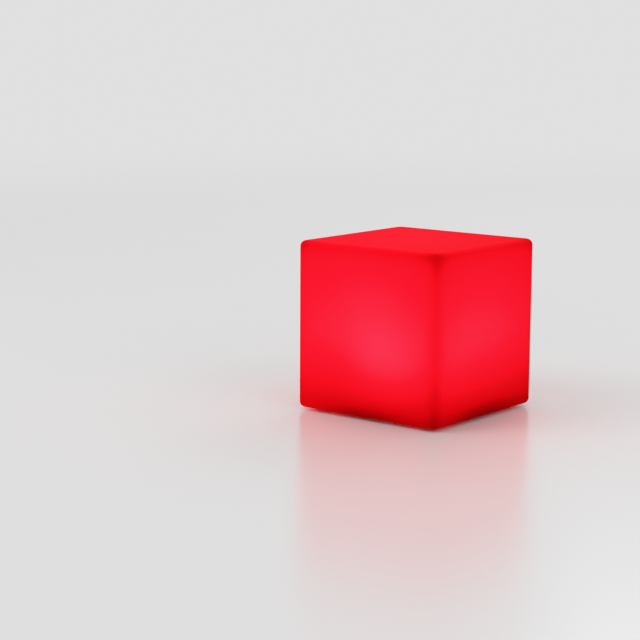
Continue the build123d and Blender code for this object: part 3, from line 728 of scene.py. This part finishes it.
class ChargingPort(Operator):
    """Finishes the charging socket, its pin, the clear light pipe and the charge light"""

    bl_idname = "cube_light.charging_port"
    bl_label = "Charging port"

    def execute(self, context):
        look = context.scene.cube_charge
        wear(moulded_plastic("socket_black", look.socket, 0.24, 0.6 * mm), "charge_jack_body")
        wear(worked_metal("pin_nickel", look.pin, 0.18, (1, 1, 6), 0.06), "charge_jack_pin")

        finish = Finish("light_pipe")
        haze = finish.noise(0.8 * mm, 4)
        scratches = finish.noise(0.5 * mm, 4, (1, 6, 1)).fade(0.60, 0.72)
        pipe = finish.settle(
            {
                "Base Color": finish.tint(look.pipe, 0.96 + haze * 0.06),
                "Roughness": 0.04 + haze * 0.06 + scratches * 0.15,
                "IOR": 1.49,
                "Transmission Weight": 0.7,
                "Normal": finish.bump(haze, 0.004 * mm),
            }
        )
        wear(pipe, "charge_light_pipe")
        indicator = moulded_plastic("indicator_led", look.indicator, 0.28, 0.2 * mm)
        wear(indicator, "charge_indicator_led")
        return {"FINISHED"}


class Battery(Operator):
    """Finishes the sleeved cells, the cradle and the tabs, and makes the foam pad"""

    bl_idname = "cube_light.battery"
    bl_label = "Battery"

    def execute(self, context):
        look = context.scene.cube_battery
        finish = Finish("cell_sleeve")
        x, y, z = finish.axes()
        out_y, up = abs(y) - abs(cell_middle.y), z - cell_middle.z
        off_axis = out_y * out_y + up * up
        bare = abs(x).above(cell_high.x - 0.35 * mm) * (1 - off_axis.above(look.bare_end**2))
        wrinkles = finish.noise(1.4 * mm, 4, (0.25, 1, 1))
        fold = abs(x).fade(cell_high.x - 2.4 * mm, cell_high.x - 0.6 * mm)
        # Painted sheen: the sleeve's base colour is lighter in broad clouds.
        sheen = finish.noise(12 * mm, 3)
        sleeve = finish.tint(look.sleeve, 0.82 + sheen * 0.25 + wrinkles * 0.08)
        can = finish.tint(look.can, 0.90 + wrinkles * 0.16)
        cell = finish.settle(
            {
                "Base Color": finish.mix(bare, sleeve, can),
                "Metallic": bare,
                "Roughness": 0.26 + wrinkles * 0.10 + bare * 0.06,
                "Normal": finish.bump(wrinkles * (0.25 + fold), 0.05 * mm),
            }
        )
        wear(cell, "battery_cell_1", "battery_cell_2")
        wear(moulded_plastic("cradle_black", look.cradle, 0.52, 0.4 * mm), "battery_cradle")

        finish = Finish("nickel")
        _, y, z = finish.axes()
        lines = finish.noise(0.2 * mm, 4, (1, 0.1, 1))
        beside = abs(abs(y) - abs(cell_middle.y)) - 1.2 * mm
        up = abs(z - cell_middle.z) - 1.0 * mm
        spot = 1 - (beside * beside + up * up).fade((look.weld * 0.6) ** 2, look.weld**2)
        tabs = finish.settle(
            {
                "Base Color": finish.tint(look.nickel, 0.92 + lines * 0.16 - spot * 0.35),
                "Metallic": 1.0,
                "Roughness": 0.26 + lines * 0.12 + spot * 0.20,
                "Normal": finish.bump(lines * 0.15 - spot, 0.05 * mm),
            }
        )
        wear(tabs, "battery_tabs")
        self.make_pad(look)
        return {"FINISHED"}

    def make_pad(self, look):
        """A strip of closed-cell foam, pressed a little by the cells below it."""
        finish = Finish("pad_foam")
        pores = finish.cells(0.5 * mm).fade(0.15, 0.55)
        clouds = finish.noise(5 * mm, 3)
        foam = finish.settle(
            {
                # Painted shade: the base colour is darker in the pores' hollows.
                "Base Color": finish.tint(look.foam, 0.55 + pores * 0.40 + clouds * 0.30),
                "Roughness": 0.86 + clouds * 0.10,
                "Normal": finish.bump(pores, 0.06 * mm),
            }
        )
        rim = 0.06 * mm  # how far the foam stays inside its space
        size = pad_high - pad_low
        strip = bmesh.new()
        bmesh.ops.create_grid(strip, x_segments=50, y_segments=28, size=0.5)
        for corner in strip.verts:
            corner.co.x *= size.x - 2 * rim
            corner.co.y *= size.y - 2 * rim
            over_cell = (abs(corner.co.y) - abs(cell_middle.y)) / (4 * mm)
            ripple = math.sin(corner.co.x / (3.1 * mm)) * math.sin(corner.co.y / (2.3 * mm))
            corner.co.z = 0.02 * mm * math.exp(-over_cell * over_cell) + 0.006 * mm * ripple
        bmesh.ops.translate(strip, vec=(pad_low + pad_high) / 2, verts=strip.verts)
        mesh = bpy.data.meshes.new("battery_foam")
        strip.to_mesh(mesh)
        strip.free()
        mesh.shade_smooth()
        mesh.materials.append(foam)
        pad = bpy.data.objects.new("battery_foam", mesh)
        bpy.context.collection.objects.link(pad)
        thickness = pad.modifiers.new("thickness", "SOLIDIFY")
        thickness.thickness = size.z * 0.86
        thickness.offset = 0
        rounding = pad.modifiers.new("rounding", "BEVEL")
        rounding.width = 0.12 * mm
        rounding.segments = 3
        rounding.limit_method = "ANGLE"
        rounding.angle_limit = math.radians(50)
        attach(pad, "lamp")
        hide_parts("battery_pad")


class LightSource(Operator):
    """Finishes the LED board with its LEDs, the receiver, heat spreader and frosted dome"""

    bl_idname = "cube_light.light_source"
    bl_label = "Light source"

    def execute(self, context):
        look = context.scene.cube_source
        finish = Finish("board_white")
        ring = abs(finish.noise(9 * mm, 2) - 0.5)
        traces = 1 - ring.fade(0.010, 0.016)
        weave = finish.noise(0.5 * mm, 2)
        board = finish.settle(
            {
                "Base Color": finish.tint(look.mask, 0.92 + weave * 0.12 - traces * 0.07),
                "Roughness": 0.40 + weave * 0.10 - traces * 0.06,
                "Normal": finish.bump(traces * 0.8 + weave * 0.2, 0.02 * mm),
            }
        )
        wear(board, "led_board")

        finish = Finish("led_package")
        height = finish.axes()[2]
        facing = finish.axes(finish.add("ShaderNodeTexCoord", output="Normal"))[2]
        window_level = (leds_low.z + leds_high.z) / 2 + 0.1 * mm
        window = facing.above(0.9) * (1 - height.above(window_level))
        flow = finish.noise(0.6 * mm, 3)
        package = finish.tint(look.package, 0.9 + flow * 0.12)
        phosphor = finish.tint(look.phosphor, 0.9 + flow * 0.2)
        leds = finish.settle(
            {
                "Base Color": finish.mix(window, package, phosphor),
                "Roughness": 0.30 + flow * 0.10 + window * 0.15,
                "Normal": finish.bump(flow, 0.01 * mm),
                "Emission Color": finish.tint(look.light, window * 0.9 + 0.05),
                "Emission Strength": look.level,
            }
        )
        wear(leds, "leds")
        wear(moulded_plastic("receiver_black", look.epoxy, 0.20, 0.5 * mm), "ir_receiver")
        wear(worked_metal("aluminium", look.aluminium, 0.30, (0.06, 1, 1)), "heat_spreader")

        finish = Finish("frosted_dome")
        frost = finish.noise(0.3 * mm, 4)
        clouds = finish.noise(14 * mm, 3)
        # Painted light: the dome glows with the LEDs' light, strongest near them.
        shine = finish.away((0, 0, leds_high.z)).bell(dome_high.x * 1.2)
        dome = finish.settle(
            {
                "Base Color": finish.tint(look.dome, 0.93 + frost * 0.06 + clouds * 0.04),
                "Roughness": 0.58 + frost * 0.16,
                "Transmission Weight": 0.45,
                "Normal": finish.bump(frost, 0.01 * mm),
                "Emission Color": finish.tint(look.light, shine * (0.8 + clouds * 0.2)),
                "Emission Strength": look.level,
            }
        )
        wear(dome, "diffuser_dome")
        return {"FINISHED"}


class ControlElectronics(Operator):
    """Finishes the green boards and the parts that are soldered to them"""

    bl_idname = "cube_light.control_electronics"
    bl_label = "Control electronics"

    def execute(self, context):
        look = context.scene.cube_board
        finish = Finish("board_green")
        pitch = look.trace_pitch
        patches = finish.cells(7 * mm, "Color", distance="CHEBYCHEV")
        pick, turn, blank = finish.axes(patches)
        grid = finish.add(
            "ShaderNodeTexBrick",
            {
                "Vector": finish.place,
                "Scale": 1.0,
                "Mortar Size": pitch * 0.16,
                "Mortar Smooth": 0.1,
                "Brick Width": pitch * 3.7,
                "Row Height": pitch,
            },
            output="Fac",
            offset=0.37,
        )
        traces = (grid * pick.above(0.35)).at_least(turn.above(0.86))
        hole = finish.cells(3.4 * mm)
        via = (1 - hole.above(0.085)) * (1 - traces * 0.2)
        # Painted shade: the drilled middle of each via is painted dark, in place of a hole.
        drilled = 1 - hole.above(0.035)
        weave = finish.noise(0.4 * mm, 2)
        green = finish.mix(traces, finish.tint(look.mask, 0.8 + weave * 0.4), look.trace)
        green = finish.mix(via, green, finish.tint(look.pad, 1 - drilled * 0.9))
        board = finish.settle(
            {
                "Base Color": green,
                "Metallic": via * (1 - drilled) * 0.9,
                "Roughness": 0.30 + weave * 0.10 + blank * 0.05,
                "Normal": finish.bump(traces * 0.6 + via * 0.4 - drilled + weave * 0.1, 0.03 * mm),
            }
        )
        wear(board, "control_board", "protection_board")
        wear(moulded_plastic("chip_black", look.chip, 0.46, 0.15 * mm), "surface_mount_parts")
        wear(moulded_plastic("inductor_grey", look.ferrite, 0.58, 0.10 * mm), "power_inductor")
        wear(worked_metal("capacitor_can", look.can, 0.30, (1, 1, 0.08)), "buffer_capacitor")
        wear(moulded_plastic("connector_cream", look.connector, 0.42, 0.3 * mm), "lead_connectors")
        return {"FINISHED"}


class Leads(Operator):
    """Colours the insulated leads"""

    bl_idname = "cube_light.leads"
    bl_label = "Leads"

    def execute(self, context):
        look = context.scene.cube_leads
        self.insulate("battery_leads", 1, (0.0,), (look.black, look.red))
        four = (look.white, look.red, look.green, look.blue)
        self.insulate("led_leads", 1, (-2 * mm, 0.0, 2 * mm), four)
        self.insulate("switch_leads", 0, (switch_middle.x,), (look.white, look.white))
        self.insulate("jack_leads", 0, (flap_middle.x,), (look.black, look.red))
        return {"FINISHED"}

    def insulate(self, node, axis, limits, shades):
        """One material for a bundle, in which each lead has its own colour."""
        finish = Finish(node)
        across = finish.axes()[axis]
        shade = shades[0]
        for limit, following in zip(limits, shades[1:]):
            shade = finish.mix(across.above(limit), shade, following)
        skin = finish.noise(0.3 * mm, 3)
        rubbed = finish.noise(2.2 * mm, 4).fade(0.45, 0.72)
        material = finish.settle(
            {
                "Base Color": finish.tint(shade, 0.86 + skin * 0.14 + rubbed * 0.12),
                "Roughness": 0.34 + rubbed * 0.14,
                "Normal": finish.bump(skin, 0.01 * mm),
            }
        )
        wear(material, node)


# ================= The stage =================
# Each soft lamp's name, place, side and power, in metres and watts.
lamps = (
    ("key_lamp", (-1.3, -1.9, 1.9), 1.6, 17),
    ("fill_lamp", (2.3, -0.6, 1.5), 1.8, 10),
    ("back_lamp", (-0.4, 2.2, 1.8), 1.6, 9),
)


class Stage(Operator):
    """Sets the pale floor, the soft studio light and the camera"""

    bl_idname = "cube_light.stage"
    bl_label = "Stage"

    def execute(self, context):
        look = context.scene.cube_stage
        context.scene.view_settings.view_transform = "Standard"
        self.lay_floor(look)
        self.light_room(look)
        for lamp in lamps:
            self.hang_lamp(*lamp)
        self.set_camera(look)
        return {"FINISHED"}

    def lay_floor(self, look):
        """A pale, slightly glossy floor that turns into the backdrop far off."""
        disc = bmesh.new()
        bmesh.ops.create_circle(disc, cap_ends=True, segments=96, radius=look.floor_radius)
        bmesh.ops.translate(disc, vec=(0, 0, -look.floor_gap), verts=disc.verts)
        mesh = bpy.data.meshes.new("floor")
        disc.to_mesh(mesh)
        disc.free()
        floor = bpy.data.objects.new("floor", mesh)
        bpy.context.collection.objects.link(floor)

        finish = Finish("floor")
        clouds = finish.noise(0.9, 3)
        polish = finish.noise(0.12, 3)
        surface = finish.add(
            "ShaderNodeBsdfPrincipled",
            {
                "Base Color": finish.tint(look.floor, 0.99 + clouds * 0.02),
                "Roughness": look.floor_roughness - 0.02 + polish * 0.04,
            },
        )
        seen = finish.add("ShaderNodeLightPath", output="Is Camera Ray")
        far = finish.away((0, 0, 0)).fade(look.fade_start, look.fade_end)
        backdrop = finish.add("ShaderNodeEmission", {"Color": look.backdrop, "Strength": 1.0})
        near_and_far = finish.add("ShaderNodeMixShader", {0: seen * far, 1: surface, 2: backdrop})
        # Seen from below the floor is clear, and it lets light up to the engine and the feet.
        from_below = finish.add("ShaderNodeNewGeometry", output="Backfacing")
        x, y, _ = finish.axes()
        beside_x, beside_y = abs(x) - foot_middle.x, abs(y) - foot_middle.y
        beside_foot = (beside_x * beside_x + beside_y * beside_y).above(foot_radius**2)
        under = 1 - finish.away((0, 0, 0)).above(look.window) * beside_foot
        open_to = seen * from_below + (1 - seen) * under
        clear = finish.add("ShaderNodeBsdfTransparent")
        whole = finish.add("ShaderNodeMixShader", {0: open_to, 1: near_and_far, 2: clear})
        finish.add("ShaderNodeOutputMaterial", {"Surface": whole}, output="None")
        mesh.materials.append(finish.owner)

    def light_room(self, look):
        """Even light from all sides, and a paler backdrop where it is seen or mirrored."""
        world = bpy.data.worlds.new("studio")
        bpy.context.scene.world = world
        finish = Finish(world)
        camera, glossy, through = (
            finish.add("ShaderNodeLightPath", output=f"Is {kind} Ray")
            for kind in ("Camera", "Glossy", "Transmission")
        )
        pale = camera.at_least(glossy).at_least(through)
        room = finish.add(
            "ShaderNodeBackground", {"Color": finish.mix(pale, look.surround, look.backdrop)}
        )
        finish.add("ShaderNodeOutputWorld", {"Surface": room}, output="None")

    def hang_lamp(self, name, place, side, power):
        """A soft square lamp that faces the cube."""
        lamp = bpy.data.lights.new(name, "AREA")
        lamp.shape = "SQUARE"
        lamp.size = side
        lamp.energy = power
        holder = bpy.data.objects.new(name, lamp)
        bpy.context.collection.objects.link(holder)
        holder.location = place
        aim = Vector((0, 0, cube_top / 2)) - Vector(place)
        holder.rotation_mode = "QUATERNION"
        holder.rotation_quaternion = aim.to_track_quat("-Z", "Y")

    def set_camera(self, look):
        """The camera, from its place, its direction and its lean."""
        turn, down, lean = look.azimuth, look.elevation, look.roll
        back = Vector(
            (math.sin(turn) * math.cos(down), -math.cos(turn) * math.cos(down), math.sin(down))
        )
        level = Vector((math.cos(turn), math.sin(turn), 0))
        up = back.cross(level)
        right = math.cos(lean) * level + math.sin(lean) * up
        top = math.cos(lean) * up - math.sin(lean) * level
        data = bpy.data.cameras.new("camera")
        data.lens = look.lens
        camera = bpy.data.objects.new("camera", data)
        bpy.context.collection.objects.link(camera)
        facing = Matrix((right, top, back)).transposed().to_4x4()
        camera.matrix_world = Matrix.Translation(look.camera_place) @ facing
        bpy.context.scene.camera = camera


# ================= Add-on =================
steps = (
    (LitShell, ShellSettings, "cube_shell"),
    (RubberParts, RubberSettings, "cube_rubber"),
    (LightEngine, EngineSettings, "cube_engine"),
    (Fasteners, MetalSettings, "cube_metal"),
    (PowerSwitch, SwitchSettings, "cube_switch"),
    (ChargingPort, ChargeSettings, "cube_charge"),
    (Battery, BatterySettings, "cube_battery"),
    (LightSource, LightSettings, "cube_source"),
    (ControlElectronics, BoardSettings, "cube_board"),
    (Leads, LeadSettings, "cube_leads"),
    (Stage, StageSettings, "cube_stage"),
)


class CubeLightPanel(Panel):
    """Lists the cube light's steps with their settings"""

    bl_idname = "VIEW3D_PT_cube_light"
    bl_label = "Cube light"
    bl_space_type = "VIEW_3D"
    bl_region_type = "UI"
    bl_category = "Cube light"

    def draw(self, context):
        for operator, settings, holder in steps:
            box = self.layout.box()
            box.operator(operator.bl_idname)
            for name in settings.__annotations__:
                box.prop(getattr(context.scene, holder), name)


def register():
    for operator, settings, holder in steps:
        bpy.utils.register_class(settings)
        setattr(bpy.types.Scene, holder, PointerProperty(type=settings))
        bpy.utils.register_class(operator)
    bpy.utils.register_class(CubeLightPanel)


def unregister():
    bpy.utils.unregister_class(CubeLightPanel)
    for operator, settings, holder in reversed(steps):
        bpy.utils.unregister_class(operator)
        delattr(bpy.types.Scene, holder)
        bpy.utils.unregister_class(settings)


def main():
    register()
    for operator, _, _ in steps:
        group, name = operator.bl_idname.split(".")
        getattr(getattr(bpy.ops, group), name)()


if __name__ == "__main__":
    main()
